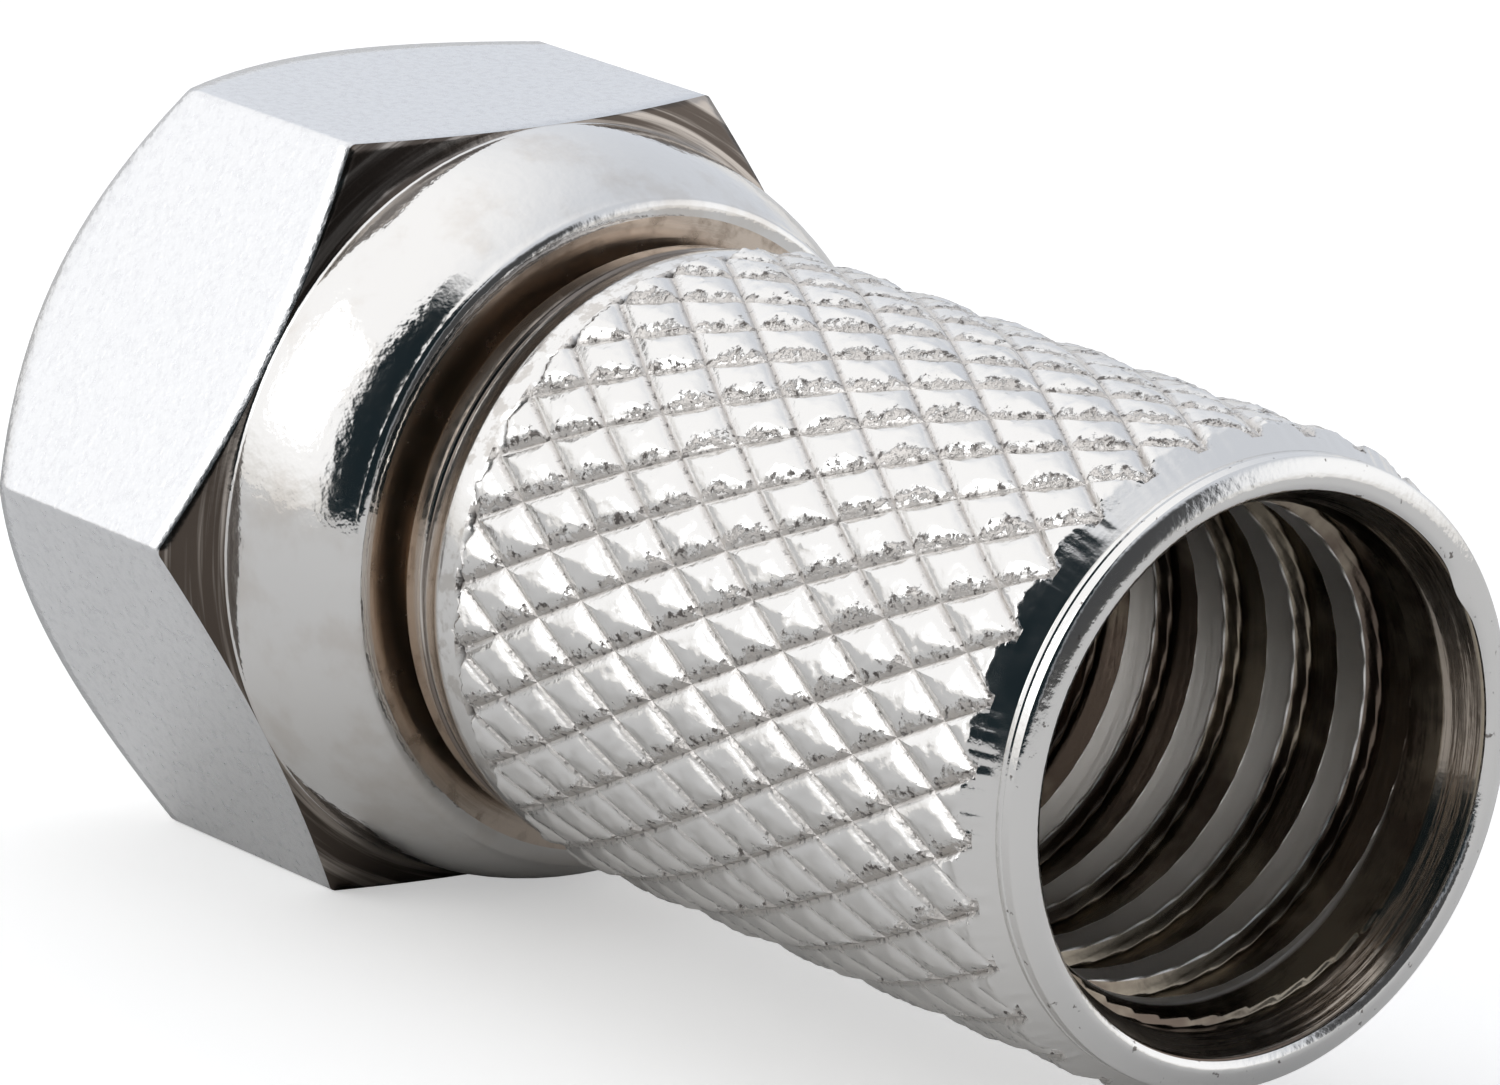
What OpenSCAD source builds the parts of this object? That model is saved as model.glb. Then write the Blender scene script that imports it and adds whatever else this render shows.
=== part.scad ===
// Twist-on F connector for 7 mm coaxial cable: a hexagonal coupling nut that
// swivels on the neck of a knurled sleeve. All sizes are in millimetres.
// Each sub-part is turned about its own Z axis, with Z = 0 at the mating face
// of the nut and +Z towards the cable, and is then laid on one flat of the nut.

/* [Coupling nut] */
// Width across the flats of the hexagon
nut_af = 11; // [10.5:0.1:13.5]
// Overall length of the nut, mating face to rear rim
nut_length = 8.2; // [6.8:0.1:10]
// Length of a hexagon corner between its two end chamfers
nut_corner_length = 3.95; // [3:0.05:4.8]
// Diameter of the flat mating face
nut_face_d = 10; // [9.8:0.05:10.4]
// Angle between the front corner chamfer and the mating face
nut_front_angle = 49; // [30:1:52]
// Angle between the rear corner faces and the mating face
nut_rear_angle = 27; // [15:1:35]
// Diameter of the sharp rim where the domed shoulder ends
nut_rim_d = 9.65; // [9:0.05:10]
// Minor diameter of the 3/8-32 coupling thread
nut_thread_d = 8.72; // [8.4:0.02:8.9]
// Diameter of the lead-in at the mouth of the thread
nut_lead_d = 9.52; // [9:0.02:9.7]
// Length of the relief groove behind the thread
nut_relief_length = 1.4; // [0.8:0.1:1.6]
// Diameter of the relief groove
nut_relief_d = 9.6; // [9:0.05:9.9]
// Thickness of the rear wall that keeps the nut on the neck
nut_wall = 1.5; // [1:0.1:2]

/* [Swivel] */
// Diameter of the neck that the nut turns on
neck_d = 7.4; // [6.8:0.05:7.6]
// Radial clearance between the neck and the nut
neck_clearance = 0.1; // [0.05:0.01:0.2]
// Diameter of the collar that holds the nut on
collar_d = 8.3; // [8.1:0.05:8.36]
// Thickness of the collar
collar_thickness = 1; // [0.6:0.1:1.4]
// Gap between the collar and the rear wall of the nut
collar_gap = 0.12; // [0.05:0.01:0.3]
// Gap between the rear rim of the nut and the shoulder of the sleeve
shoulder_gap = 0.38; // [0.1:0.02:0.8]

/* [Sleeve] */
// Diameter of the shoulder ring beside the nut
shoulder_d = 8.6; // [8.4:0.05:9]
// Length of the shoulder ring
shoulder_length = 0.33; // [0.2:0.01:0.6]
// Diameter of the smooth band ahead of the knurl
band_d = 8.88; // [8.8:0.02:9.05]
// Length of the slope from the shoulder ring up to the smooth band
slope_length = 0.6; // [0.3:0.05:1]
// Length of the smooth band
band_length = 0.5; // [0.3:0.05:1]
// Diameter of the bead ring next to the mouth
bead_d = 8.66; // [8.4:0.02:8.7]
// Length of the bead ring
bead_length = 0.34; // [0.2:0.02:0.6]
// Diameter of the corner between the knurl's run-out and the bead ring
groove_d = 8.56; // [8.3:0.02:8.6]
// Diameter of the crest of the mouth's lip
lip_d = 8.1; // [7.95:0.02:8.2]
// Height of the lip's crest beyond the bead ring
lip_height = 0.1; // [0.05:0.01:0.2]

/* [Knurl] */
// Diameter over the points of the knurl
knurl_d = 9.2; // [9.1:0.02:9.4]
// Depth of the knurl's grooves
knurl_depth = 0.15; // [0.1:0.01:0.25]
// Length of the knurled band, up to the bead ring
knurl_length = 11.5; // [8:0.1:16]
// Number of grooves of each hand
knurl_count = 30; // [20:1:40]
// Advance of a groove along the sleeve over one pitch around it
knurl_pitch = 1.72; // [1.2:0.02:2.4]
// Turn of the pattern about the axis, in degrees
knurl_phase = 4.4; // [0:0.1:12]
// Drift of the pattern about the axis, in degrees per millimetre along it
knurl_lean = 0.31; // [0:0.01:0.5]
// Length of the chamfered start of the knurl
knurl_start = 0.2; // [0.1:0.02:0.4]
// Length of the tapered run-out next to the bead ring
knurl_runout = 0.5; // [0.3:0.02:0.8]

/* [Bores] */
// Diameter over the crests of the cable thread
cable_bore_d = 6.8; // [6.2:0.05:7.2]
// Depth of the cable bore below the bead ring's outer edge
cable_bore_depth = 10.4; // [7:0.1:11.5]
// Diameter of the mouth inside its lip
mouth_d = 7.76; // [7.4:0.02:7.9]
// Length of the tapered entry inside the mouth
entry_length = 0.55; // [0.3:0.05:1]
// Diameter of the bore for the cable's insulated core
core_bore_d = 4.9; // [4.4:0.05:5.2]

/* [Hidden] */
$fn = 96;
// Distance by which a cutter runs past the face that it opens
cut = 0.5;

// Hexagon
nut_inscribed_r = nut_af / 2;
nut_corner_r = nut_inscribed_r / cos(30);
corner_front_z = (nut_corner_r - nut_face_d / 2) * tan(nut_front_angle);
corner_rear_z = corner_front_z + nut_corner_length;
flat_rear_z = corner_rear_z + (nut_corner_r - nut_inscribed_r) * tan(nut_rear_angle);

// Domed shoulder: an arc that leaves the inscribed circle along the axis and ends at the rim
dome_length = nut_length - flat_rear_z;
dome_drop = nut_inscribed_r - nut_rim_d / 2;
dome_r = (dome_length * dome_length + dome_drop * dome_drop) / (2 * dome_drop);

// Stations along the axis
wall_front_z = nut_length - nut_wall;
collar_rear_z = wall_front_z - collar_gap;
collar_front_z = collar_rear_z - collar_thickness;
shoulder_z = nut_length + shoulder_gap;
slope_z = shoulder_z + shoulder_length;
band_z = slope_z + slope_length;
knurl_z = band_z + band_length;
bead_z = knurl_z + knurl_length;
bead_end_z = bead_z + bead_length;
lip_z = bead_end_z + lip_height;
bore_end_z = bead_end_z - cable_bore_depth;

// Knurl: grooves of both hands cross at the root radius, with a point between each four crossings
knurl_tip_r = knurl_d / 2;
knurl_root_r = knurl_tip_r - knurl_depth;
knurl_core_r = knurl_root_r - 0.2;
knurl_columns = 2 * knurl_count;
knurl_row = knurl_pitch / 2;
knurl_rows = ceil(knurl_length / knurl_row) + 2;
// The last whole row of pyramids ends in crossings just short of the bead ring
knurl_last_z = bead_z - 0.22;
// Makes the row at knurl_last_z have its crossings at the pattern's own angle
knurl_parity = (knurl_rows - 1) % 2;
runout_slope = (knurl_tip_r - groove_d / 2) / knurl_runout;

// Frame: the origin is under the middle of the length, on the surface that the part lies on
overall_length = lip_z;

// Small features of the turned sleeve
edge_break = 0.08;
ring_step = 0.03;
ring_length = 0.1;
lip_inner_drop = 0.06;

function polar(radius, angle, z) = [radius * cos(angle), radius * sin(angle), z];

// Vertex of the knurl's lattice: a crossing of two grooves or the point of a pyramid
function knurl_vertex(column, row) =
    let (crossing = (column + row + knurl_parity) % 2 == 0,
         advance = (row + 1 - knurl_rows) * knurl_row)
    polar(crossing ? knurl_root_r : knurl_tip_r,
          column * 180 / knurl_count + knurl_phase + advance * knurl_lean,
          knurl_last_z + advance);

function knurl_index(column, row) = row * knurl_columns + column % knurl_columns;

// Two triangles of one lattice cell, split along the groove that crosses it
function knurl_cell(column, row) =
    let (a = knurl_index(column, row),
         b = knurl_index(column + 1, row),
         c = knurl_index(column + 1, row + 1),
         d = knurl_index(column, row + 1))
    (column + row + knurl_parity) % 2 == 0 ? [[a, c, b], [a, d, c]] : [[a, d, b], [b, d, c]];

// Long knurled bar, trimmed later by the turned envelope
module knurled_bar() {
    last = knurl_rows + 1;
    points = [for (row = [0:last]) for (column = [0:knurl_columns - 1]) knurl_vertex(column, row)];
    sides = [for (row = [0:last - 1]) for (column = [0:knurl_columns - 1])
             for (face = knurl_cell(column, row)) face];
    front = [for (column = [0:knurl_columns - 1]) knurl_index(column, 0)];
    rear = [for (column = [knurl_columns - 1:-1:0]) knurl_index(column, last)];
    polyhedron(points = points, faces = concat(sides, [front, rear]));
}

// Turned outline that trims the knurl: a chamfered start and a tapered run-out
module knurl_envelope() {
    start_r = band_d / 2 - 0.1;
    start_slope = (knurl_tip_r - band_d / 2) / knurl_start;
    inner_r = groove_d / 2 - 0.1;
    rotate_extrude()
        polygon([
            [0, knurl_z - 0.1 / start_slope],
            [start_r, knurl_z - 0.1 / start_slope],
            [knurl_tip_r + 0.1, knurl_z + knurl_start + 0.1 / start_slope],
            [knurl_tip_r + 0.1, bead_z - knurl_runout - 0.1 / runout_slope],
            [inner_r, bead_z + 0.1 / runout_slope],
            [0, bead_z + 0.1 / runout_slope]
        ]);
}

// Turned outline of the sleeve, from its collar to the lip of its mouth
module sleeve_blank() {
    collar_r = collar_d / 2;
    neck_r = neck_d / 2;
    shoulder_r = shoulder_d / 2;
    band_r = band_d / 2;
    bead_r = bead_d / 2;
    groove_r = groove_d / 2;
    rotate_extrude()
        polygon([
            [0, collar_front_z],
            [collar_r - edge_break, collar_front_z],
            [collar_r, collar_front_z + edge_break],
            [collar_r, collar_rear_z],
            [neck_r, collar_rear_z],
            [neck_r, shoulder_z],
            [shoulder_r - edge_break, shoulder_z],
            [shoulder_r, shoulder_z + edge_break],
            [shoulder_r, slope_z],
            [shoulder_r + ring_step, slope_z + ring_step],
            [shoulder_r + ring_step, slope_z + ring_length],
            [band_r, band_z],
            [band_r, knurl_z],
            [knurl_core_r, knurl_z],
            [knurl_core_r, bead_z - knurl_runout / 2],
            [groove_r, bead_z - knurl_runout / 2],
            [groove_r, bead_z],
            [bead_r, bead_z + ring_step],
            [bead_r, bead_end_z - ring_step],
            [bead_r - ring_step, bead_end_z],
            [lip_d / 2, lip_z],
            [0, lip_z]
        ]);
}

// Everything that is drilled out of the sleeve
module sleeve_bores() {
    rotate_extrude()
        polygon([
            [0, collar_front_z - cut],
            [core_bore_d / 2, collar_front_z - cut],
            [core_bore_d / 2, bore_end_z],
            [cable_bore_d / 2, bore_end_z],
            [cable_bore_d / 2, lip_z - lip_inner_drop - entry_length],
            [mouth_d / 2, lip_z - lip_inner_drop],
            [lip_d / 2, lip_z],
            [lip_d / 2, lip_z + cut],
            [0, lip_z + cut]
        ]);
}

// Laid on one flat of the nut, with the cable end towards +X
module laid_down() {
    translate([-overall_length / 2, 0, nut_inscribed_r])
        rotate([90, 0, 90])
            children();
}

// Hexagon with a cone turned on each end of its corners
module hexagon_bar() {
    past = 1;
    intersection() {
        cylinder(r = nut_corner_r, h = flat_rear_z, $fn = 6);
        rotate_extrude()
            polygon([
                [0, 0],
                [nut_face_d / 2, 0],
                [nut_corner_r, corner_front_z],
                [nut_corner_r + past, corner_front_z],
                [nut_corner_r + past, corner_rear_z],
                [nut_corner_r, corner_rear_z],
                [nut_inscribed_r, flat_rear_z],
                [0, flat_rear_z]
            ]);
    }
}

// The square fills the middle where a short, steep arc doesn't reach the axis
module dome() {
    rotate_extrude()
        intersection() {
            union() {
                translate([nut_inscribed_r - dome_r, flat_rear_z]) circle(r = dome_r);
                translate([0, flat_rear_z]) square([max(nut_inscribed_r - dome_r, 0), dome_length]);
            }
            translate([0, flat_rear_z]) square([nut_inscribed_r, dome_length]);
        }
}

module nut_bores() {
    lead_depth = (nut_lead_d - nut_thread_d) / 2;
    rotate_extrude()
        polygon([
            [0, -cut],
            [nut_lead_d / 2 + cut, -cut],
            [nut_thread_d / 2, lead_depth],
            [nut_thread_d / 2, wall_front_z - nut_relief_length],
            [nut_relief_d / 2, wall_front_z - nut_relief_length],
            [nut_relief_d / 2, wall_front_z],
            [neck_d / 2 + neck_clearance, wall_front_z],
            [neck_d / 2 + neck_clearance, nut_length + cut],
            [0, nut_length + cut]
        ]);
}

module coupling_nut() {
    color("gainsboro")
        laid_down()
            difference() {
                union() {
                    hexagon_bar();
                    dome();
                }
                nut_bores();
            }
}

module sleeve() {
    color("silver")
        laid_down()
            difference() {
                union() {
                    sleeve_blank();
                    intersection() {
                        knurled_bar();
                        knurl_envelope();
                    }
                }
                sleeve_bores();
            }
}

coupling_nut();
sleeve();
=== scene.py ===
"""F connector for coaxial cable, lying on one flat of its coupling nut in soft studio light.

Both pieces are turned about one axis that runs along +X. A station is a distance along it from the
nut's mating face, and a radius is a distance from the axis. Both are in millimetres.
"""
import math

import bpy
import numpy as np
from mathutils import Matrix, Vector, noise


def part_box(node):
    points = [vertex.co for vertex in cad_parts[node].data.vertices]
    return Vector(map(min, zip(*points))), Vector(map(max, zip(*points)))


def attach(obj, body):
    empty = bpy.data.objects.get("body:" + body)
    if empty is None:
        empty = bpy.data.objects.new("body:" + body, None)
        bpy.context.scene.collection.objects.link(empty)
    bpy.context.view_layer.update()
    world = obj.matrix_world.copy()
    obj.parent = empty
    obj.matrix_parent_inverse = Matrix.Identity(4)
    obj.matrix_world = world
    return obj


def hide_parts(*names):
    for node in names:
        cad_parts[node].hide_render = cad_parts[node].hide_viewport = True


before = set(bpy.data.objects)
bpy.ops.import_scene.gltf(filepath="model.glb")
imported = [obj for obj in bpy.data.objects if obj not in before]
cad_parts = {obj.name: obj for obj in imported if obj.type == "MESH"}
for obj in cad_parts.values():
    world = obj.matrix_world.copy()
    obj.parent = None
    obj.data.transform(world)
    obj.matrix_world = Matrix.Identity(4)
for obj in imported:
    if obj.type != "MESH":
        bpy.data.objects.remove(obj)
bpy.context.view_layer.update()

MM = 0.001

# ---- Sizes taken from the frame -----------------------------------------------------------------
nut_low, nut_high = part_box("coupling_nut")
sleeve_low, sleeve_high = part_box("sleeve")
AXIS_Z = (nut_low[2] + nut_high[2]) / 2 / MM
FACE_X = nut_low[0] / MM
NUT_LENGTH = (nut_high[0] - nut_low[0]) / MM
NUT_INSCRIBED = (nut_high[2] - nut_low[2]) / 2 / MM
KNURL_TIP = (sleeve_high[1] - sleeve_low[1]) / 2 / MM
LIP_END = (sleeve_high[0] - nut_low[0]) / MM
COLLAR_FRONT = (sleeve_low[0] - nut_low[0]) / MM

# ---- Nut: stations and radii --------------------------------------------------------------------
NUT_EDGE = 0.13  # rounding of the six corner edges
NUT_CORNER = NUT_INSCRIBED / math.cos(math.pi / 6)
NUT_FACE = 5.0
CORNER_LENGTH = 3.95  # of a corner edge between its two chamfers
FRONT_SLOPE = math.tan(math.radians(49))
REAR_SLOPE = math.tan(math.radians(27))
CORNER_REAR = (NUT_CORNER - NUT_FACE) * FRONT_SLOPE + CORNER_LENGTH
FLAT_REAR = CORNER_REAR + (NUT_CORNER - NUT_INSCRIBED) * REAR_SLOPE
NUT_RIM = 4.825
RIM_LENGTH = 0.1  # rounding of the shoulder's rim, along the axis
RIM_DROP = 0.11  # and across it
WALL_FRONT = NUT_LENGTH - 1.5
WALL_HOLE = 3.8
WALL_BREAK = 0.08  # broken edge of the hole in the rear wall
RELIEF = 4.8
RELIEF_FRONT = WALL_FRONT - 1.4
FACE_INNER = 4.9
THREAD_MOUTH = 4.78
THREAD_LEAD = 0.4
THREAD_MINOR = 4.36
THREAD_MAJOR = 4.74
THREAD_PITCH = 25.4 / 32
THREAD_FLANK = 2.4  # steepness of a flank, in tooth heights over one pitch
THREAD_FLAT = 0.15  # tooth heights of a flank that the flat root takes

# ---- Sleeve: stations and radii -----------------------------------------------------------------
COLLAR = 4.15
COLLAR_REAR = COLLAR_FRONT + 1
COLLAR_BREAK = 0.08
NECK = 3.7
SHOULDER = 4.3
SHOULDER_START = NUT_LENGTH + 0.38
SHOULDER_BREAK = 0.06
SLOPE_START = SHOULDER_START + 0.33
BAND = 4.44
BAND_START = SLOPE_START + 0.6
KNURL_START = BAND_START + 0.5
LIP = 3.99  # crest of the mouth's lip
LIP_HEIGHT = 0.1
BEAD = 4.33
BEAD_END = LIP_END - LIP_HEIGHT
BEAD_START = BEAD_END - 0.34
BEAD_BREAK = 0.03
GROOVE = 4.28
MOUTH = 3.88
BORE = 3.4
BORE_END = BEAD_END - 10.4
CORE_BORE = 2.45

# ---- Knurl --------------------------------------------------------------------------------------
STARTS = 30  # grooves of each hand
KNURL_PITCH = 1.72
KNURL_DEPTH = 0.15
KNURL_PHASE = 4.4  # degrees
KNURL_LEAN = 0.31  # degrees per mm along the sleeve
KNURL_LAST = BEAD_START - 0.22  # last crossings of the grooves
KNURL_ROUNDING = 1.9  # 1 for flat flanks, more for rounder points
STEPS = 9  # mesh steps from a crossing of the grooves to the next point
EDGE_REACH = 0.1  # how far the knurl's rows reach into the band, for its ragged start
RUNOUT_LENGTH = 0.5
RUNOUT_SLOPE = 0.64

# ---- Cable thread -------------------------------------------------------------------------------
CABLE_PITCH = 1.45
CABLE_CREST = 0.53  # width of the crest
CABLE_FLANK = 0.12
CABLE_ROOT = 3.64
CABLE_WEAR = 0.012  # how far the crest falls away at one crest's width from its middle
CABLE_PLACE = 21.13 - CABLE_PITCH * 5 / 360  # station of a crest's middle at angle 0
ENTRY_END = LIP_END - 0.62
ENTRY_GROWTH = 0.35  # how steeply the first crest grows out of the entry

# ---- Camera -------------------------------------------------------------------------------------
CAMERA_LENS = 237.2
CAMERA_AZIMUTH = -38.646
CAMERA_ELEVATION = 15.5605
CAMERA_ROLL = -2.1615
CAMERA_DISTANCE = 138.3714
CAMERA_AIM = (10.5943, 0.1966, 0.4410)  # from the middle of the mating face

# ---- Key lamp -----------------------------------------------------------------------------------
KEY_AZIMUTH = -120
KEY_ELEVATION = 30
KEY_DISTANCE = 500
KEY_SIDE = 260
KEY_POWER = 0.31  # watts
KEY_COLOUR = (0.96, 0.985, 1.0)

# ---- Colours ------------------------------------------------------------------------------------
WHITE = (1, 1, 1, 1)
PAPER = (0.8, 0.79, 0.775, 1)
TENT = (0.77, 0.81, 0.88, 1)
TENT_LIT = (1.23, 1.24, 1.26, 1)
TENT_GLOW = (1.25, 1.27, 1.3, 1)
TABLE = (0.9, 0.89, 0.87, 1)
SHADE = (0.03, 0.03, 0.03, 1)
DARK_ROOM = (0.012, 0.021, 0.026, 1)
NICKEL = (0.75, 0.735, 0.715)
# Brown of the knurl's torn metal, which also serves as painted warm shade
TORN_METAL_AND_SHADE = (0.46, 0.41, 0.37)
TORN_PIT = (0.06, 0.05, 0.045)
# Colour towards which the cracks at the knurl's start are darkened
CRACK_DARKENING = (0.05, 0.04, 0.035)


# ---- Camera and light ---------------------------------------------------------------------------
def direction(azimuth, elevation):
    """Unit vector; azimuth is counted from +X towards +Y, and both are in degrees."""
    a, e = math.radians(azimuth), math.radians(elevation)
    return Vector((math.cos(a) * math.cos(e), math.sin(a) * math.cos(e), math.sin(e)))


def make_camera():
    """A long lens that looks at the cable end from the side and a little above."""
    data = bpy.data.cameras.new("camera")
    data.sensor_width = 36
    data.lens = CAMERA_LENS
    data.clip_start = 0.01
    data.clip_end = 20
    back = direction(CAMERA_AZIMUTH, CAMERA_ELEVATION)
    level = Vector((0, 0, 1)).cross(back).normalized()
    roll = math.radians(CAMERA_ROLL)
    up = back.cross(level) * math.cos(roll) + level * math.sin(roll)
    turn = Matrix((up.cross(back), up, back)).transposed().to_4x4()
    aim = Vector((FACE_X, 0, AXIS_Z)) + Vector(CAMERA_AIM)
    camera = bpy.data.objects.new("camera", data)
    camera.matrix_world = Matrix.Translation((aim + back * CAMERA_DISTANCE) * MM) @ turn
    bpy.context.scene.collection.objects.link(camera)
    bpy.context.scene.camera = camera


def make_key_lamp():
    """A square softbox at the left, above the connector."""
    data = bpy.data.lights.new("key", "AREA")
    data.shape = "SQUARE"
    data.size = KEY_SIDE * MM
    data.energy = KEY_POWER
    data.color = KEY_COLOUR
    toward = direction(KEY_AZIMUTH, KEY_ELEVATION)
    lamp = bpy.data.objects.new("key", data)
    lamp.location = toward * KEY_DISTANCE * MM
    lamp.rotation_euler = toward.to_track_quat("Z", "Y").to_euler()
    bpy.context.scene.collection.objects.link(lamp)


class Graph:
    """Short calls for making shader nodes. A value is a number, a colour or another node's output."""

    def __init__(self, tree):
        self.tree = tree

    def put(self, value, socket):
        """Links a node's output to the socket, or sets a plain value on it."""
        if isinstance(value, bpy.types.NodeSocket):
            self.tree.links.new(value, socket)
        else:
            socket.default_value = value

    def node(self, kind, inputs=(), **settings):
        made = self.tree.nodes.new(kind)
        for key, value in settings.items():
            setattr(made, key, value)
        for key, value in dict(inputs).items():
            self.put(value, made.inputs[key])
        return made

    def math(self, operation, a, b=0.0):
        return self.node("ShaderNodeMath", {0: a, 1: b}, operation=operation).outputs[0]

    def ramp(self, value, low, high, out_low=0.0, out_high=1.0, smooth=True):
        """value from low..high to out_low..out_high, held at both ends."""
        inputs = {0: value, 1: low, 2: high, 3: out_low, 4: out_high}
        form = "SMOOTHSTEP" if smooth else "LINEAR"
        return self.node("ShaderNodeMapRange", inputs, interpolation_type=form).outputs[0]

    def blend(self, factor, a, b):
        """Colour a where factor is 0 and b where it is 1."""
        return self.node("ShaderNodeMix", {0: factor, 6: a, 7: b}, data_type="RGBA").outputs[2]


def make_world():
    """A white tent, brightest at the left, with a dark room beyond its opening at the camera."""
    world = bpy.data.worlds.new("studio")
    bpy.context.scene.world = world
    world.use_nodes = True
    world.node_tree.nodes.clear()
    g = Graph(world.node_tree)
    way = g.node("ShaderNodeTexCoord").outputs["Generated"]
    x, y, z = g.node("ShaderNodeSeparateXYZ", {0: way}).outputs
    azimuth = g.math("ARCTAN2", y, x)
    elevation = g.math("ARCSINE", z)

    def near(azimuth, elevation, inner, outer):
        """1 within inner degrees of a direction, falling to 0 at outer degrees."""
        toward = {0: way, 1: direction(azimuth, elevation)}
        dot = g.node("ShaderNodeVectorMath", toward, operation="DOT_PRODUCT").outputs["Value"]
        return g.ramp(dot, math.cos(math.radians(outer)), math.cos(math.radians(inner)))

    def between(value, start, rise, fall, end):
        """1 from rise to fall, 0 before start and after end, all in degrees."""
        start, rise, fall, end = (math.radians(v) for v in (start, rise, fall, end))
        return g.math("MULTIPLY", g.ramp(value, start, rise), g.ramp(value, fall, end, 1, 0))

    # The lit side, a smaller glow opposite, and the table under both
    tent = g.blend(near(-138, 30, 36, 82), TENT, TENT_LIT)
    tent = g.blend(near(62, 10, 10, 40), tent, TENT_GLOW)
    table = g.ramp(elevation, math.radians(-2), math.radians(12), 1, 0)
    tent = g.blend(table, tent, TABLE)
    # The shaded cloth in line with the bore, and the opening beside it
    shade = g.math("MULTIPLY", between(azimuth, -24, -14, 24, 36), between(elevation, -12, -8, 38, 58))
    tent = g.blend(g.math("MULTIPLY", shade, 0.94), tent, SHADE)
    opening = g.math("MULTIPLY", between(azimuth, -97, -91, -28, -14), between(elevation, -11, -7, 63, 76))
    tent = g.blend(opening, tent, DARK_ROOM)
    camera_ray = g.node("ShaderNodeLightPath").outputs["Is Camera Ray"]
    shown = g.blend(camera_ray, tent, WHITE)
    background = g.node("ShaderNodeBackground", {"Color": shown, "Strength": 1.0})
    g.node("ShaderNodeOutputWorld", {"Surface": background.outputs[0]})


def make_floor():
    """White paper, lifted towards white for the camera, with the connector's own shadow on it."""
    half = 3.0
    corners = [(-half, -half, 0), (half, -half, 0), (half, half, 0), (-half, half, 0)]
    mesh = bpy.data.meshes.new("paper_floor")
    mesh.from_pydata(corners, [], [(0, 1, 2, 3)])
    material = bpy.data.materials.new("paper")
    material.use_nodes = True
    material.node_tree.nodes.clear()
    g = Graph(material.node_tree)
    paper = g.node("ShaderNodeBsdfDiffuse", {"Color": PAPER}).outputs[0]
    lift = g.node("ShaderNodeEmission", {"Color": WHITE, "Strength": 0.45}).outputs[0]
    lifted = g.node("ShaderNodeAddShader", {0: paper, 1: lift}).outputs[0]
    camera_ray = g.node("ShaderNodeLightPath").outputs["Is Camera Ray"]
    mixed = g.node("ShaderNodeMixShader", {0: camera_ray, 1: paper, 2: lifted}).outputs[0]
    g.node("ShaderNodeOutputMaterial", {"Surface": mixed})
    mesh.materials.append(material)
    floor = bpy.data.objects.new("paper_floor", mesh)
    bpy.context.scene.collection.objects.link(floor)


# ---- Mesh code ----------------------------------------------------------------------------------
def spread(start, end, step):
    """Evenly spaced values from start towards end, without end itself, about step apart."""
    count = max(1, round(abs(end - start) / step))
    return list(np.linspace(start, end, count, endpoint=False))


def step_up(value, low, high):
    """0 below low and 1 above high, smooth between."""
    t = np.clip((value - low) / (high - low), 0, 1)
    return t * t * (3 - 2 * t)


def hump(value, middle, width):
    """1 at the middle, falling to 0 over a few widths at either side."""
    return np.exp(-((value - middle) / width) ** 2)


def grain(x, y, z=0.0):
    """Smooth noise between about -1 and 1 at each point of some arrays."""
    x, y, z = np.broadcast_arrays(x, y, z)
    flat = [noise.noise(Vector(place)) for place in zip(x.ravel(), y.ravel(), z.ravel())]
    return np.array(flat).reshape(x.shape)


def thread_normals(form, station, angles):
    """Inward normals of the surface radius = form(station, angles), at one station."""
    nudge = 0.004
    turn = nudge / 4
    along = (form(station + nudge, angles) - form(station - nudge, angles)) / (2 * nudge)
    around = (form(station, angles + turn) - form(station, angles - turn)) / (2 * turn)
    around = around / form(station, angles)
    cosine, sine = np.cos(angles), np.sin(angles)
    inward = np.stack([along, -cosine - around * sine, -sine + around * cosine], -1)
    return inward / np.linalg.norm(inward, axis=1)[:, None]


def triangles(radii):
    """Triangles between neighbouring points, and the number of the ring that each starts from."""
    points, columns = radii.shape
    point, column = np.meshgrid(np.arange(points), np.arange(columns), indexing="ij")
    next_point, next_column = (point + 1) % points, (column + 1) % columns
    a, b = point * columns + column, point * columns + next_column
    c, d = next_point * columns + next_column, next_point * columns + column
    quads = np.stack([a, b, c, d], -1).reshape(-1, 4)
    # Each quad is split along its flatter diagonal, so that ridges and grooves stay crisp
    r = radii.reshape(-1)
    flat_ac = np.abs(r[quads[:, 0]] - r[quads[:, 2]]) <= np.abs(r[quads[:, 1]] - r[quads[:, 3]])
    first = np.where(flat_ac[:, None], quads[:, [0, 1, 2]], quads[:, [0, 1, 3]])
    second = np.where(flat_ac[:, None], quads[:, [0, 2, 3]], quads[:, [1, 2, 3]])
    return np.concatenate([first, second]), np.tile(point.reshape(-1), 2)


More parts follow.
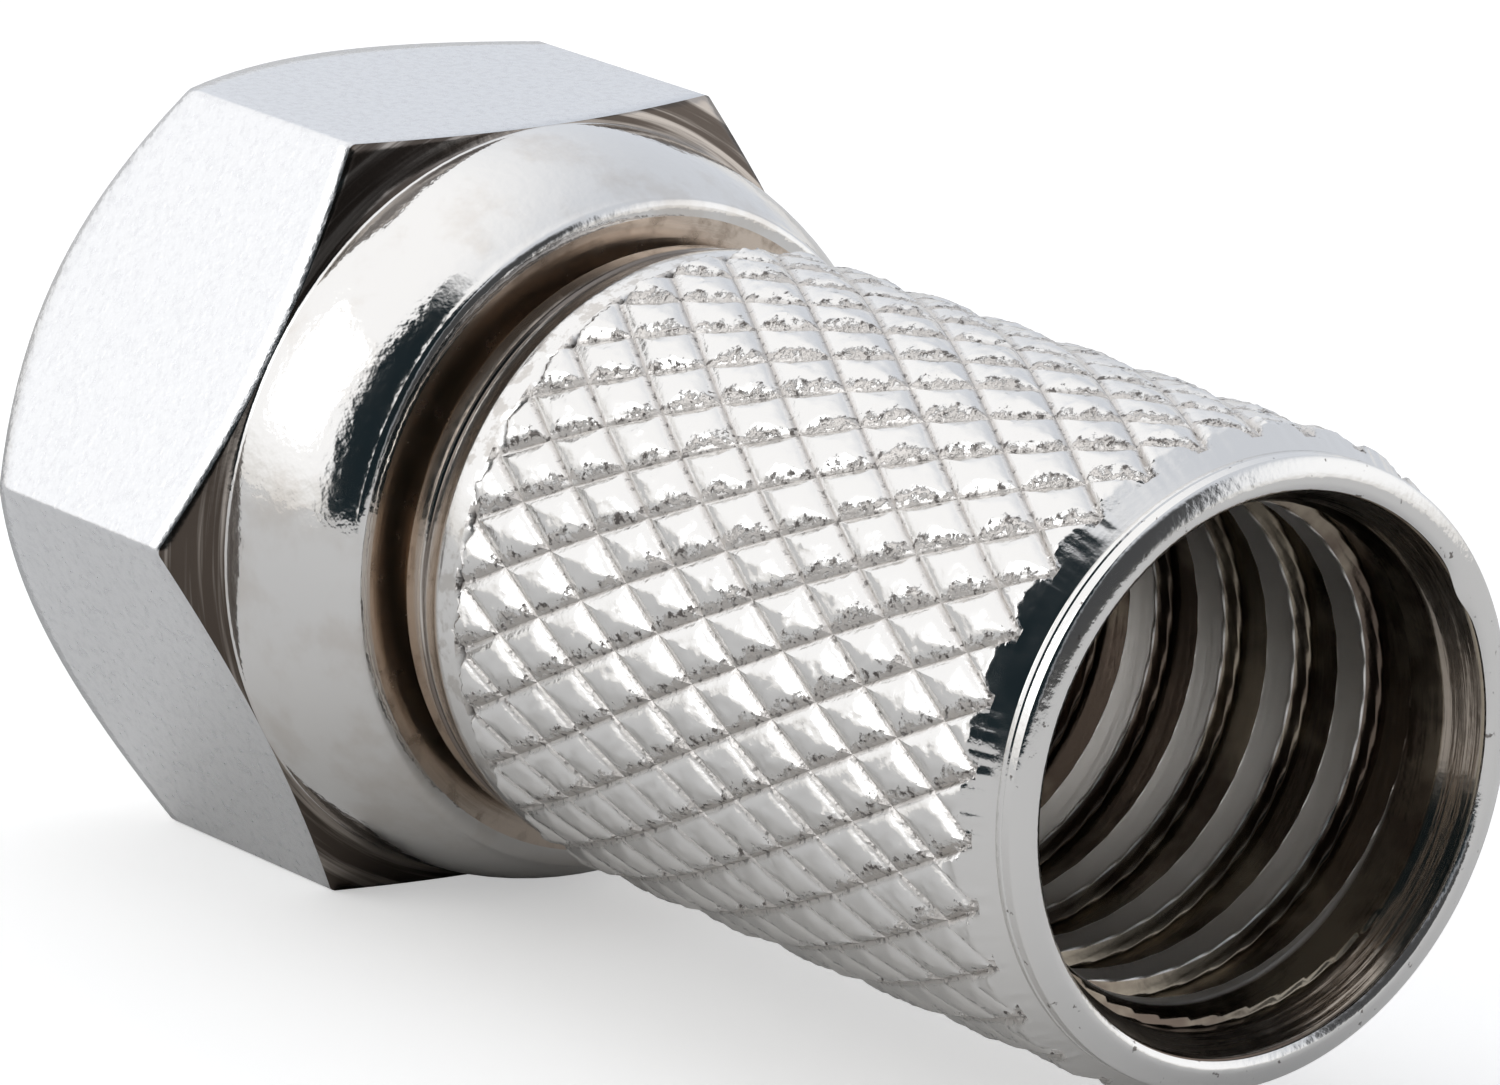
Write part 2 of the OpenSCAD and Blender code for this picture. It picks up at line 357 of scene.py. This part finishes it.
class Skin:
    """Rings of points, in order round the closed section of a turned piece."""

    def __init__(self, angles):
        self.angles = angles
        self.rings = []
        self.normals = []

    def ring(self, station, radius, material, lean=0.0, darkening=0.0):
        """Adds a ring, and gives the faces between it and the next one a material's number.

        station, radius and the darkening of the colour are one number or one for each angle. radius may also
        be a function
        of station and angles: the ring is then shaded by that form, so that the grid doesn't show.
        """
        normals = np.zeros((len(self.angles), 3))
        if callable(radius):
            normals = thread_normals(radius, station, self.angles)
            radius = radius(station, self.angles)
        ones = np.ones_like(self.angles)
        self.rings.append((station * ones, radius * ones, self.angles + lean, darkening * ones, material))
        self.normals.append(normals)

    def piece(self, name, materials, crease):
        """The closed piece; edges that turn by more than crease degrees are shaded sharp."""
        stations, radii, angles, darkening, numbers = (np.array(part) for part in zip(*self.rings))
        x = (stations + FACE_X) * MM
        y = radii * np.cos(angles) * MM
        z = (radii * np.sin(angles) + AXIS_Z) * MM
        faces, ring_of = triangles(radii)
        mesh = bpy.data.meshes.new(name)
        mesh.from_pydata(np.stack([x, y, z], -1).reshape(-1, 3).tolist(), [], faces.tolist())
        mesh.polygons.foreach_set("material_index", numbers[ring_of].astype(np.int32))
        mesh.polygons.foreach_set("use_smooth", np.ones(len(faces), dtype=bool))
        if darkening.any():
            layer = mesh.attributes.new("darkening", "FLOAT", "POINT")
            layer.data.foreach_set("value", darkening.ravel().astype(np.float32))
        mesh.update()
        for material in materials:
            mesh.materials.append(material)
        mesh.set_sharp_from_angle(angle=math.radians(crease))
        normals = np.concatenate(self.normals)
        if normals.any():
            mesh.normals_split_custom_set_from_vertices(normals.tolist())
        made = bpy.data.objects.new(name, mesh)
        bpy.context.scene.collection.objects.link(made)
        return made


# ---- Nickel plate -------------------------------------------------------------------------------
class Plate(Graph):
    """Nickel plate.

    patches is (features per mm, low, high): the noise that dulls the metal and places its stains,
    and the levels where they begin and are full. turned draws the patches out round the axis.
    """

    def __init__(self, name, colour=NICKEL, roughness=0.15, patches=(1.6, 0.42, 0.62), turned=False):
        self.material = bpy.data.materials.new(name)
        self.material.use_nodes = True
        super().__init__(self.material.node_tree)
        self.place = self.node("ShaderNodeTexCoord").outputs["Object"]
        self.x, self.y, z = self.node("ShaderNodeSeparateXYZ", {0: self.place}).outputs
        self.height = self.math("SUBTRACT", z, AXIS_Z * MM)
        across = self.math("MULTIPLY", self.y, self.y)
        upward = self.math("MULTIPLY", self.height, self.height)
        self.radius = self.math("SQRT", self.math("ADD", across, upward))
        self.normal = None
        self.colour = (*colour, 1)
        per_mm, low, high = patches
        self.patch = self.ramp(self.speckle(per_mm, 4.0, 0.6, turned), low, high)
        self.roughness = self.ramp(self.patch, 0, 1, roughness * 0.85, roughness * 1.2, smooth=False)

    def around(self):
        """The place on a narrow ring about the axis, on which drawn-out noise closes without a seam."""
        ring = self.math("DIVIDE", 0.16 * MM, self.radius)
        y = self.math("MULTIPLY", self.y, ring)
        z = self.math("MULTIPLY", self.height, ring)
        return self.node("ShaderNodeCombineXYZ", {0: self.x, 1: y, 2: z}).outputs[0]

    def speckle(self, per_mm, detail=2.0, rough=0.5, turned=False):
        """Noise from 0 to 1 with so many features per mm, drawn out round the axis if turned."""
        inputs = {"Scale": per_mm / MM, "Detail": detail, "Roughness": rough}
        if turned:
            inputs.update({"Vector": self.around(), "W": self.radius})
            return self.node("ShaderNodeTexNoise", inputs, noise_dimensions="4D").outputs[0]
        inputs["Vector"] = self.place
        return self.node("ShaderNodeTexNoise", inputs, noise_dimensions="3D").outputs[0]

    def relief(self, shape, height):
        """A bump as high as this, in mm, where shape is 1, on top of what is there already."""
        inputs = {"Height": shape, "Strength": 1.0, "Distance": height * MM}
        if self.normal:
            inputs["Normal"] = self.normal
        self.normal = self.node("ShaderNodeBump", inputs).outputs[0]

    def ripple(self, per_mm, height):
        """Soft waves: their number per mm and their height in mm, as in the next two calls."""
        self.relief(self.speckle(per_mm, 1.0), height)

    def pits(self, per_mm, height):
        """Fine unevenness."""
        self.relief(self.speckle(per_mm), height)

    def turning_marks(self, per_mm, height):
        """Lines round the axis."""
        self.relief(self.speckle(per_mm, turned=True), height)

    def stain(self, colour, amount):
        """Tints the patches."""
        self.colour = self.blend(self.math("MULTIPLY", self.patch, amount), self.colour, (*colour, 1))

    def duller(self, where, amount):
        """Adds this much roughness where the value is 1."""
        self.roughness = self.math("ADD", self.roughness, self.math("MULTIPLY", where, amount))

    def paint_crest_highlights(self, colour, radius):
        """Painted highlight: pale colour, on duller metal, at every point nearer to the axis than radius."""
        crest_highlight = self.ramp(self.radius, (radius - 0.03) * MM, radius * MM, 1, 0)
        self.colour = self.blend(crest_highlight, self.colour, (*colour, 1))
        self.duller(crest_highlight, 0.2)

    def torn_and_shaded_knurl(self):
        """Rough metal that the knurling tool leaves in the grooves and along one side of each point, whose
        brown colour is partly painted warm shade.
        """
        # u and v count the grooves of each hand, so a groove lies where either is a whole number
        station = self.math("SUBTRACT", self.math("DIVIDE", self.x, MM), FACE_X + KNURL_LAST)
        degrees = self.math("MULTIPLY", self.math("ARCTAN2", self.height, self.y), 180 / math.pi)
        lean = self.math("ADD", self.math("MULTIPLY", station, KNURL_LEAN), KNURL_PHASE)
        around = self.math("MULTIPLY", self.math("SUBTRACT", degrees, lean), STARTS / 360)
        along = self.math("DIVIDE", station, KNURL_PITCH)
        u, v = self.math("ADD", around, along), self.math("SUBTRACT", around, along)
        shift = self.math("SUBTRACT", self.speckle(4.5, 5.0, 0.75), 0.5)

        # A ragged strip along the side of each point where u is nearly whole, wider in some places
        drift = self.math("SUBTRACT", self.speckle(0.9), 0.56)
        ragged = self.math("ADD", self.math("FRACT", u), shift)
        ragged = self.math("ADD", ragged, self.math("MULTIPLY", drift, 0.5))
        side = self.math("MULTIPLY", self.ramp(ragged, 0.8, 0.88), self.ramp(ragged, 0.98, 1.04, 1, 0))

        # The bottoms of the grooves of both hands
        to_groove = self.math("MINIMUM", self.math("PINGPONG", u, 0.5), self.math("PINGPONG", v, 0.5))
        to_groove = self.math("ADD", to_groove, self.math("MULTIPLY", shift, 0.12))
        groove = self.math("MULTIPLY", self.ramp(to_groove, 0.02, 0.1, 1, 0), 0.8)

        # Both are dull, brownish and rough, with small black pits; the brownish colour is partly painted
        # shade in the grooves and along one side of each point
        scar_and_shade = self.math("MAXIMUM", side, groove)
        pit = self.math("MULTIPLY", scar_and_shade, self.ramp(self.speckle(9, 3.0, 0.6), 0.545, 0.64))
        self.colour = self.blend(self.math("MULTIPLY", scar_and_shade, 0.5), self.colour, (*TORN_METAL_AND_SHADE, 1))
        self.colour = self.blend(self.math("MULTIPLY", pit, 0.85), self.colour, (*TORN_PIT, 1))
        self.duller(scar_and_shade, 0.22)
        self.relief(self.math("MULTIPLY", self.speckle(9, 4.0, 0.7), scar_and_shade), 0.03)

    def darken_cracks(self):
        """Darkens the metal, and dulls it, by the mesh's own darkening, which lies along the cracks at the
        knurl's start.
        """
        darkening = self.node("ShaderNodeAttribute", attribute_name="darkening").outputs["Fac"]
        self.colour = self.blend(darkening, self.colour, (*CRACK_DARKENING, 1))
        self.duller(darkening, 0.3)

    def finish(self):
        """Joins everything to the shader."""
        shader = self.tree.nodes["Principled BSDF"]
        shader.inputs["Metallic"].default_value = 1.0
        self.put(self.colour, shader.inputs["Base Color"])
        self.put(self.roughness, shader.inputs["Roughness"])
        self.put(self.normal, shader.inputs["Normal"])
        return self.material


def nut_flats():
    """Tumbled flats with a fine, pale mottling."""
    metal = Plate("nut_flats", (0.75, 0.75, 0.755), roughness=0.24, patches=(7, 0.42, 0.7))
    metal.ripple(2.2, 0.006)
    metal.pits(10, 0.007)
    metal.stain((0.58, 0.58, 0.595), 0.45)
    return metal.finish()


def nut_corners():
    """Turned corner chamfers, streaked almost black in the tool's marks; their dark brown colour is partly
    painted dark reflection.
    """
    metal = Plate("nut_corners", (0.46, 0.41, 0.365), 0.2, patches=(4.5, 0.42, 0.56), turned=True)
    metal.pits(6, 0.005)
    metal.turning_marks(5, 0.016)
    metal.stain((0.08, 0.062, 0.05), 0.95)
    return metal.finish()


def nut_dome():
    """The glossy shoulder, with a soft ripple and a few dull clouds."""
    metal = Plate("nut_dome", roughness=0.1, patches=(0.9, 0.45, 0.7))
    metal.ripple(1.8, 0.007)
    metal.pits(6, 0.006)
    metal.stain((0.6, 0.55, 0.5), 0.5)
    return metal.finish()


def nut_inside():
    """The rear wall's end and hole: a brown colour that is painted reflection of the sleeve and painted
    shade in the gap beside it, with darker random patches.
    """
    metal = Plate("nut_inside", (0.7, 0.6, 0.51), roughness=0.24, patches=(2.5, 0.48, 0.68))
    metal.turning_marks(9, 0.003)
    metal.stain((0.35, 0.28, 0.22), 0.6)
    return metal.finish()


def nut_thread():
    """The thread, the relief and the front of the rear wall."""
    metal = Plate("nut_thread", (0.66, 0.635, 0.605), roughness=0.22, patches=(1.5, 0.45, 0.65))
    metal.pits(7, 0.002)
    metal.turning_marks(9, 0.003)
    metal.stain((0.5, 0.46, 0.42), 0.6)
    return metal.finish()


def sleeve_ring():
    """The collar, the neck and the shoulder ring: a dark brown colour that is partly painted shade between
    the nut and the knurl.
    """
    metal = Plate("sleeve_ring", (0.56, 0.48, 0.41), roughness=0.16)
    metal.pits(12, 0.0015)
    metal.turning_marks(9, 0.004)
    return metal.finish()


def sleeve_slope():
    """The slope up to the band, with brown streaks in its turning marks."""
    metal = Plate("sleeve_slope", (0.66, 0.61, 0.56), 0.15, patches=(5, 0.5, 0.58), turned=True)
    metal.pits(9, 0.003)
    metal.turning_marks(6, 0.008)
    metal.stain((0.16, 0.13, 0.11), 0.85)
    return metal.finish()


def sleeve_band():
    """The smooth band ahead of the knurl."""
    metal = Plate("sleeve_band", roughness=0.14, patches=(3, 0.5, 0.62))
    metal.pits(10, 0.002)
    metal.turning_marks(7, 0.003)
    metal.stain((0.4, 0.36, 0.32), 0.5)
    return metal.finish()


def sleeve_knurl():
    """The knurl: bright points with torn sides and grooves, coloured partly with painted warm shade."""
    metal = Plate("sleeve_knurl", roughness=0.17)
    metal.ripple(3.5, 0.011)
    metal.pits(12, 0.006)
    metal.torn_and_shaded_knurl()
    metal.darken_cracks()
    return metal.finish()


def sleeve_runout():
    """The glossy cone where the knurl runs out."""
    metal = Plate("sleeve_runout", roughness=0.14)
    metal.pits(14, 0.002)
    metal.turning_marks(12, 0.002)
    return metal.finish()


def sleeve_lip():
    """The bead ring and the lip, with a few black nicks."""
    metal = Plate("sleeve_lip", roughness=0.15, patches=(5, 0.655, 0.7))
    metal.pits(9, 0.005)
    metal.turning_marks(6, 0.006)
    metal.stain((0.1, 0.08, 0.07), 0.8)
    return metal.finish()


def bore_thread():
    """The cable thread: painted highlight on its pale crests, and painted shade in the dark metal between
    them.
    """
    # The dark base colour is painted shade deep in the bore
    metal = Plate("bore_thread", (0.13, 0.1, 0.08), roughness=0.2, patches=(0.5, 0.42, 0.62))
    metal.pits(6, 0.003)
    metal.turning_marks(6, 0.005)
    metal.stain((0.36, 0.31, 0.24), 1)
    # The pale crests are a painted highlight
    metal.paint_crest_highlights((0.95, 0.93, 0.9), BORE + 0.04)
    return metal.finish()


def bore_entry():
    """The tapered entry, with deep turning marks."""
    metal = Plate("bore_entry", (0.38, 0.33, 0.28), roughness=0.2)
    metal.pits(5, 0.004)
    metal.turning_marks(11, 0.012)
    return metal.finish()


# ---- Nut ----------------------------------------------------------------------------------------
def hexagon(angles):
    """Radius of the rounded hexagon at each angle; it has flats at the top and bottom."""
    folded = np.abs((angles + math.pi / 6) % (math.pi / 3) - math.pi / 6)
    flat = NUT_INSCRIBED / np.cos(math.pi / 6 - folded)
    arc_place = (NUT_INSCRIBED - NUT_EDGE) / math.cos(math.pi / 6)
    inside = np.maximum(NUT_EDGE ** 2 - (arc_place * np.sin(folded)) ** 2, 0)
    arc = arc_place * np.cos(folded) + np.sqrt(inside)
    tangent = (arc_place + NUT_EDGE * math.cos(math.pi / 6), NUT_EDGE * math.sin(math.pi / 6))
    return np.where(folded < math.atan2(tangent[1], tangent[0]), arc, flat)


def coupling_thread(station, angles):
    """Radius of the right-handed coupling thread, a V with flat crests and roots, and its lead-in."""
    phase = (station / THREAD_PITCH - angles / (2 * math.pi)) % 1
    tooth = np.clip((0.5 - np.abs(phase - 0.5)) * THREAD_FLANK - THREAD_FLAT, 0, 1)
    lead = THREAD_MINOR + np.maximum(0, THREAD_LEAD - station)
    return np.maximum(lead, THREAD_MAJOR + (THREAD_MINOR - THREAD_MAJOR) * tooth)


def nut_angles():
    """Angles that lie close together on the six rounded corners and wider on the flats."""
    reach = math.atan2(NUT_EDGE / 2, NUT_CORNER)
    corner = np.linspace(-reach, reach, 9)
    flat = np.linspace(reach, math.pi / 3 - reach, 20)[1:-1]
    sector = np.concatenate([corner, flat])
    return np.concatenate([math.pi / 3 * k + sector for k in range(6)])


def make_nut():
    """The coupling nut: hexagon, chamfered corners, domed shoulder, rear wall, relief and thread."""
    flats, corners, dome, inside, thread = range(5)
    skin = Skin(nut_angles())
    hexa = hexagon(skin.angles)
    front = (hexa - NUT_FACE) * FRONT_SLOPE
    rear = CORNER_REAR + (NUT_CORNER - hexa) * REAR_SLOPE
    for t in np.linspace(0, 1, 6):
        skin.ring(front * t, NUT_FACE + (hexa - NUT_FACE) * t, flats)
    for t in np.linspace(0, 1, 16)[1:-1]:
        skin.ring(front + (rear - front) * t, hexa, flats)
    for t in np.linspace(0, 1, 6)[:-1]:
        skin.ring(rear + (FLAT_REAR - rear) * t, hexa + (NUT_INSCRIBED - hexa) * t, corners)

    rim_start = NUT_LENGTH - RIM_LENGTH
    dome_length = NUT_LENGTH - FLAT_REAR
    dome_drop = NUT_INSCRIBED - NUT_RIM
    dome_radius = (dome_length ** 2 + dome_drop ** 2) / (2 * dome_drop)
    for station in np.linspace(FLAT_REAR, rim_start, 26):
        along = station - FLAT_REAR
        radius = NUT_INSCRIBED - dome_radius + math.sqrt(dome_radius ** 2 - along ** 2)
        skin.ring(station, radius, dome)
    for t in (0.35, 0.65, 0.88, 1):
        skin.ring(rim_start + RIM_LENGTH * t, radius - RIM_DROP * t ** 2.2, dome)

    for radius in np.linspace(NUT_RIM - 0.2, WALL_HOLE + WALL_BREAK, 6):
        skin.ring(NUT_LENGTH, radius, inside)
    skin.ring(NUT_LENGTH - WALL_BREAK, WALL_HOLE, inside)
    skin.ring(WALL_FRONT, WALL_HOLE, thread)
    skin.ring(WALL_FRONT, RELIEF, thread)
    skin.ring(RELIEF_FRONT, RELIEF, thread)
    for station in spread(RELIEF_FRONT - 0.02, 0.02, THREAD_PITCH / 18):
        skin.ring(station, coupling_thread, thread)
    skin.ring(0, THREAD_MOUTH, flats)
    skin.ring(0, FACE_INNER, flats)

    materials = [nut_flats(), nut_corners(), nut_dome(), nut_inside(), nut_thread()]
    nut = skin.piece("coupling_nut_plated", materials, crease=22)
    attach(nut, "nut")
    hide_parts("coupling_nut")


# ---- Sleeve -------------------------------------------------------------------------------------
def flank(distance, steepness):
    """Rounded flank of a knurl point, 0 in the groove and 1 on top."""
    return 1 - (1 - np.clip(distance * steepness, 0, 1)) ** KNURL_ROUNDING


def knurl_lean(station):
    """Turn of the knurl's lattice about the axis at a station, in radians."""
    held = min(max(station, KNURL_START), BEAD_START)
    return math.radians(KNURL_LEAN) * (held - KNURL_LAST)


def knurl_radius(station, angles):
    """Radius of the knurled surface: slightly uneven points between grooves of both hands."""
    along = (station - KNURL_LAST) / KNURL_PITCH
    around = (np.degrees(angles) - KNURL_PHASE - KNURL_LEAN * (station - KNURL_LAST)) * STARTS / 360
    u, v = around + along, around - along
    u_low, v_low = u - np.floor(u), v - np.floor(v)
    # The half cells between the last whole points are pressed up against the run-out
    steep = np.where(np.floor(u) >= np.floor(v), 3.0, 1.0)
    height = np.minimum.reduce([
        flank(2 * u_low, steep),
        flank(2 * (1 - u_low), 1.35 * steep),
        flank(2 * v_low, 1.15 * steep),
        flank(2 * (1 - v_low), steep)])
    # A different height for each point, from the numbers of the grooves on either side of it
    uneven = (np.sin(np.floor(u) % 97 * 12.9898 + np.floor(v) % 89 * 78.233) * 43758.5453) % 1
    coarse = grain(angles * KNURL_TIP * 6, station * 6)
    fine = grain(angles * KNURL_TIP * 15, station * 15, 4.0)
    unformed = step_up(height, 0.5, 0.95) * (0.16 * coarse + 0.1 * fine - 0.08)
    height = height * (0.93 + 0.12 * uneven) + unformed
    return KNURL_TIP - KNURL_DEPTH + KNURL_DEPTH * height


def knurl_stations():
    """Rows of the knurl: on the lattice's own grid, with finer rows over its start and its end."""
    lattice = KNURL_PITCH / 2 / STEPS
    start_length = 0.36
    first_row = math.ceil((KNURL_START + start_length - KNURL_LAST) / lattice)
    last_row = -4
    finer = 3
    rows = spread(KNURL_START - EDGE_REACH, KNURL_LAST + first_row * lattice, 0.035)
    rows += [KNURL_LAST + k * lattice for k in range(first_row, last_row)]
    rows += [KNURL_LAST + k * lattice / finer for k in range(last_row * finer, 0)]
    return rows + spread(KNURL_LAST, BEAD_START, 0.055)


def make_sleeve():
    """The sleeve's outside: collar, neck, shoulder ring, slope, band, knurl, run-out, bead and lip."""
    plain, band, knurl, runout, lip, slope = range(6)
    columns = 2 * STARTS * STEPS
    # Each column's angle, before its rings are turned by the knurl's lean
    base = np.arange(columns) * 2 * math.pi / columns + math.radians(KNURL_PHASE)
    skin = Skin(base)

    def ring(station, radius, material, darkening=0.0):
        skin.ring(station, radius, material, knurl_lean(station), darkening)

    ring(COLLAR_FRONT, CORE_BORE, plain)
    ring(COLLAR_FRONT, COLLAR - COLLAR_BREAK, plain)
    ring(COLLAR_FRONT + COLLAR_BREAK, COLLAR, plain)
    ring(COLLAR_REAR, COLLAR, plain)
    ring(COLLAR_REAR, NECK, plain)
    ring(SHOULDER_START, NECK, plain)
    ring(SHOULDER_START, SHOULDER - SHOULDER_BREAK, plain)
    ring(SHOULDER_START + SHOULDER_BREAK / 2, SHOULDER - 0.01, plain)
    ring(SHOULDER_START + SHOULDER_BREAK, SHOULDER, plain)
    ring(SLOPE_START, SHOULDER, slope)

    # A fine raised bead, and behind it the foot of the slope
    ring(SLOPE_START + 0.03, SHOULDER + 0.03, slope)
    ring(SLOPE_START + 0.08, SHOULDER + 0.035, slope)
    foot = SHOULDER + 0.01
    foot_station = SLOPE_START + 0.15
    ring(SLOPE_START + 0.11, foot, slope)
    for station in spread(foot_station, BAND_START, 0.12):
        t = (station - foot_station) / (BAND_START - foot_station)
        ring(station, foot + (BAND - foot) * t ** 1.4, slope)
    for station in spread(BAND_START, KNURL_START - EDGE_REACH, 0.2):
        ring(station, BAND, band)

    # The knurl rises out of the band along a ragged, cracked edge and ends in a wavy cone
    edge = KNURL_START + 0.05 + 0.13 * grain(base * 13, 0.0) + 0.06 * grain(base * 45, 3.0)
    cracked = step_up(grain(base * 18, 2.0), -0.3, 0.0)
    wave = 0.02 * grain(base * 30, 7.0) + 0.012 * grain(base * 90, 9.0)
    glossy_from = BEAD_START - 0.3
    for station in knurl_stations():
        crack = hump(station, edge, 0.07) * cracked
        burr = 0.05 * hump(station, edge + 0.05, 0.05) * grain(base * 55, station * 9, 5.0)
        points = knurl_radius(station, base + knurl_lean(station))
        rising = BAND + (points - BAND) * step_up(station - edge, 0, 0.045) + burr - 0.07 * crack
        cone = KNURL_TIP - (station - (BEAD_START - RUNOUT_LENGTH)) * RUNOUT_SLOPE
        cone = cone + wave * step_up(BEAD_START - station, 0.05, 0.2)
        # The cracks are darkened in colour as much as they sink
        ring(station, np.minimum(rising, cone), knurl if station < glossy_from else runout, crack)

    # The bead has a shallow turned line round its middle
    ring(BEAD_START, GROOVE, lip)
    for offset, rise in ((0.03, -0.005), (0.06, 0.005), (0.13, 0.008), (0.15, -0.008), (0.17, 0.004),
                         (0.25, 0), (0.31, -0.005)):
        ring(BEAD_START + offset, BEAD + rise, lip)
    ring(BEAD_END, BEAD - BEAD_BREAK, lip)

    # The lip is rolled over towards the mouth, nicked all round, with one burr on its inner edge
    nicks = 0.012 * grain(base * 20, 1.0) + 0.01 * grain(base * 60, 2.0)
    burr = 0.09 * hump(base, math.radians(32), 0.09)
    rolled = BEAD - BEAD_BREAK
    for t in np.linspace(0, 1, 7)[1:]:
        station = BEAD_END + LIP_HEIGHT * math.sin(t * math.pi / 2)
        ring(station, rolled + (LIP - rolled) * t + nicks * t, lip)
    for t in np.linspace(0, 1, 5)[1:]:
        ring(LIP_END - 0.06 * t ** 1.6, LIP + (MOUTH - LIP) * t + nicks * (1 - t) - burr * t, lip)
    ring(LIP_END - 0.09, MOUTH - 0.6 * burr, lip)
    ring(LIP_END - 0.12, MOUTH, lip)
    # From here on the skin of the bore hides this one
    inner_end = BORE_END - 0.2
    ring(inner_end, MOUTH, lip)
    ring(inner_end, CORE_BORE, plain)

    materials = [sleeve_ring(), sleeve_band(), sleeve_knurl(), sleeve_runout(), sleeve_lip(), sleeve_slope()]
    sleeve = skin.piece("sleeve_plated", materials, crease=30)
    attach(sleeve, "sleeve")
    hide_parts("sleeve")


def cable_thread(station, angles):
    """Radius of the cable thread, whose first turn grows out of the tapered entry."""
    turns = (station - CABLE_PLACE) / CABLE_PITCH - angles / (2 * math.pi)
    from_crest = np.abs(turns - np.round(turns)) * CABLE_PITCH
    tooth = 1 - step_up(from_crest, CABLE_CREST / 2, CABLE_CREST / 2 + CABLE_FLANK)
    worn = CABLE_WEAR * (from_crest / CABLE_CREST) ** 2
    growing = CABLE_ROOT - ENTRY_GROWTH * np.maximum(0, ENTRY_END + 0.05 - station)
    return np.maximum(CABLE_ROOT + (BORE + worn - CABLE_ROOT) * tooth, growing)


def make_sleeve_bore():
    """The sleeve's inside: entry, coarse right-handed thread that bites the cable, and core bore."""
    thread, entry = range(2)
    columns = 300
    skin = Skin(np.arange(columns) * 2 * math.pi / columns)
    entry_start = LIP_END - 0.1
    # The far side of this skin is hidden in the sleeve's metal
    far_side = MOUTH + 0.12
    core_far_side = CORE_BORE + 0.3
    core_start = BORE_END - 0.5
    core_end = COLLAR_FRONT + 0.02
    skin.ring(entry_start, far_side, thread)
    skin.ring(entry_start, MOUTH - 0.005, thread)
    for station in spread(entry_start - 0.03, ENTRY_END, 0.05):
        t = (station - ENTRY_END) / (entry_start - ENTRY_END)
        skin.ring(station, CABLE_ROOT + (MOUTH - 0.01 - CABLE_ROOT) * t, entry)

    # The rows are closer together as far in as the camera sees
    fine_to = 13.6
    skin.ring(ENTRY_END, cable_thread(ENTRY_END, skin.angles), thread)
    for station in (spread(ENTRY_END, fine_to, 0.036) + spread(fine_to, BORE_END, 0.09))[1:]:
        skin.ring(station, cable_thread, thread)
    skin.ring(BORE_END, BORE, thread)
    skin.ring(BORE_END, CORE_BORE, thread)
    skin.ring(core_end, CORE_BORE, thread)
    skin.ring(core_end, core_far_side, thread)
    skin.ring(core_start, core_far_side, thread)
    skin.ring(core_start, far_side, thread)

    bore = skin.piece("sleeve_bore", [bore_thread(), bore_entry()], crease=30)
    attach(bore, "sleeve")
    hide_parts("sleeve")


bpy.context.scene.view_settings.view_transform = "Standard"
make_camera()
make_world()
make_floor()
make_key_lamp()
make_nut()
make_sleeve()
make_sleeve_bore()
